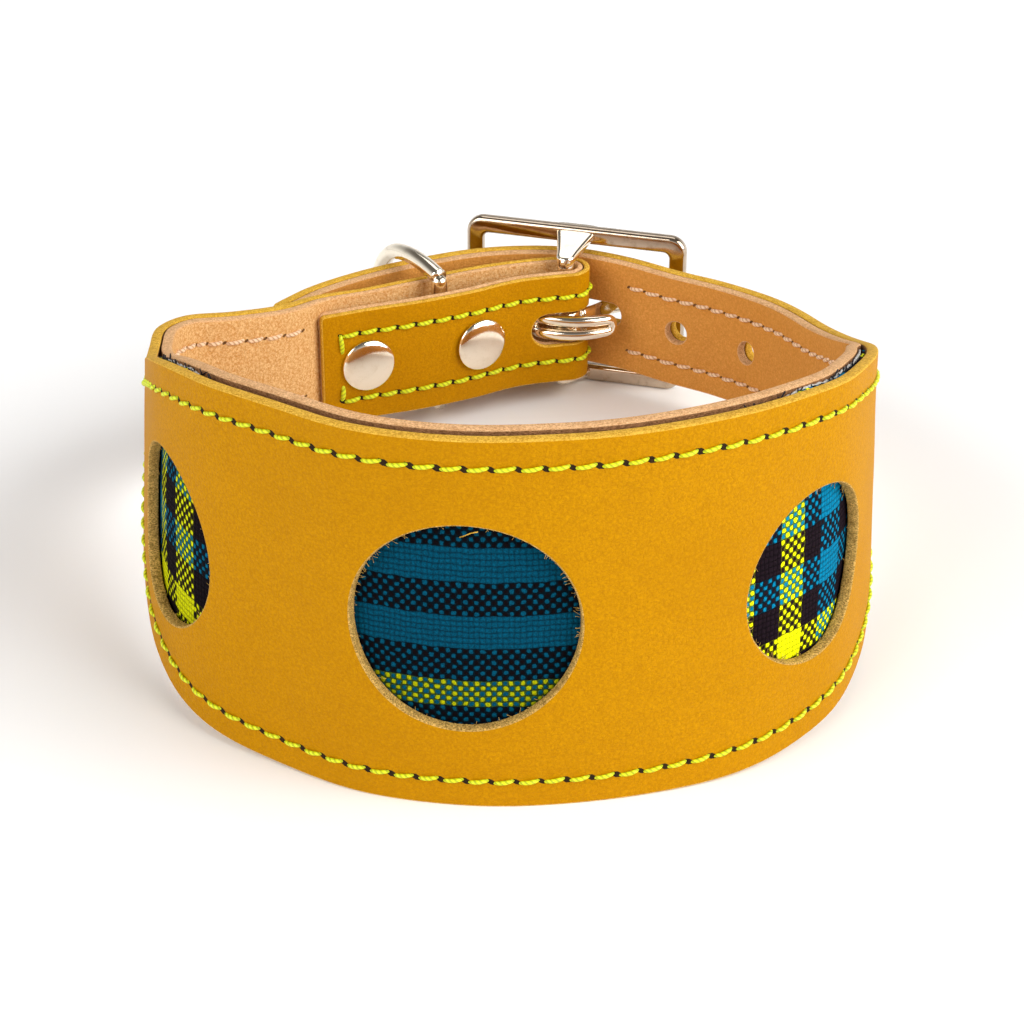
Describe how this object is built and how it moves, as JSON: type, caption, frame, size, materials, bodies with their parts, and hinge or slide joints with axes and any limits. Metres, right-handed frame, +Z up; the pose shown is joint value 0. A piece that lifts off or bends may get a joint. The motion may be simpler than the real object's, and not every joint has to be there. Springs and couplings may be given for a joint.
{
  "type": "wide buckled hound collar",
  "caption": "Wide leather hound collar with round cut-outs over a plaid insert, prong buckle, D-ring, rivets and stitched edges, buckled closed.",
  "frame": {"origin": "under the middle of the collar's bounding box, on the surface the collar stands on", "axes": "+Z up along the neck's axis, the wide front faces -Y, the buckle is at +Y"},
  "size_m": [0.1118, 0.1364, 0.055],
  "materials": {
    "outer_leather": "smooth mustard-yellow leather, satin, with lighter cut edges",
    "lining_leather": "natural tan leather, matt, with a fine nap",
    "plaid_fabric": "blue, black and yellow plaid in a coarse plain weave",
    "backing_cloth": "plain white cloth",
    "needle_thread": "waxed yellow-green machine thread",
    "bobbin_thread": "cream machine thread",
    "nickel": "polished nickel plate"
  },
  "bodies": {
    "strap": {"outer_leather": "outer_leather", "lining_leather": "lining_leather", "plaid_fabric": "plaid_fabric", "fabric_backing": "backing_cloth", "body_needle_thread": "needle_thread", "flap_thread_upper": "needle_thread", "flap_thread_lower": "needle_thread", "bobbin_thread_upper": "bobbin_thread", "bobbin_thread_lower": "bobbin_thread", "rivet_cap_flap_end": "nickel", "rivet_post_flap_end": "nickel", "rivet_cap_buckle_end": "nickel", "rivet_post_buckle_end": "nickel"},
    "buckle": {"buckle_frame": "nickel"},
    "tongue": {"buckle_tongue": "nickel"},
    "ring": {"d_ring": "nickel"}
  },
  "joints": [
    {"name": "buckle_swing", "type": "hinge", "parent": "strap", "child": "buckle", "pos_m": [0.01028, 0.05498, 0.0145], "axis": [0, 0, 1], "range_deg": [-2.5, 3]},
    {"name": "tongue_lift", "type": "hinge", "parent": "buckle", "child": "tongue", "pos_m": [0.01028, 0.05498, 0.0145], "axis": [0, 0, 1], "range_deg": [-1, 12]},
    {"name": "d_ring_swing", "type": "hinge", "parent": "strap", "child": "ring", "pos_m": [-0.01112, 0.04608, 0.0145], "axis": [0, 0, 1], "range_deg": [-25, 12]}
  ]
}
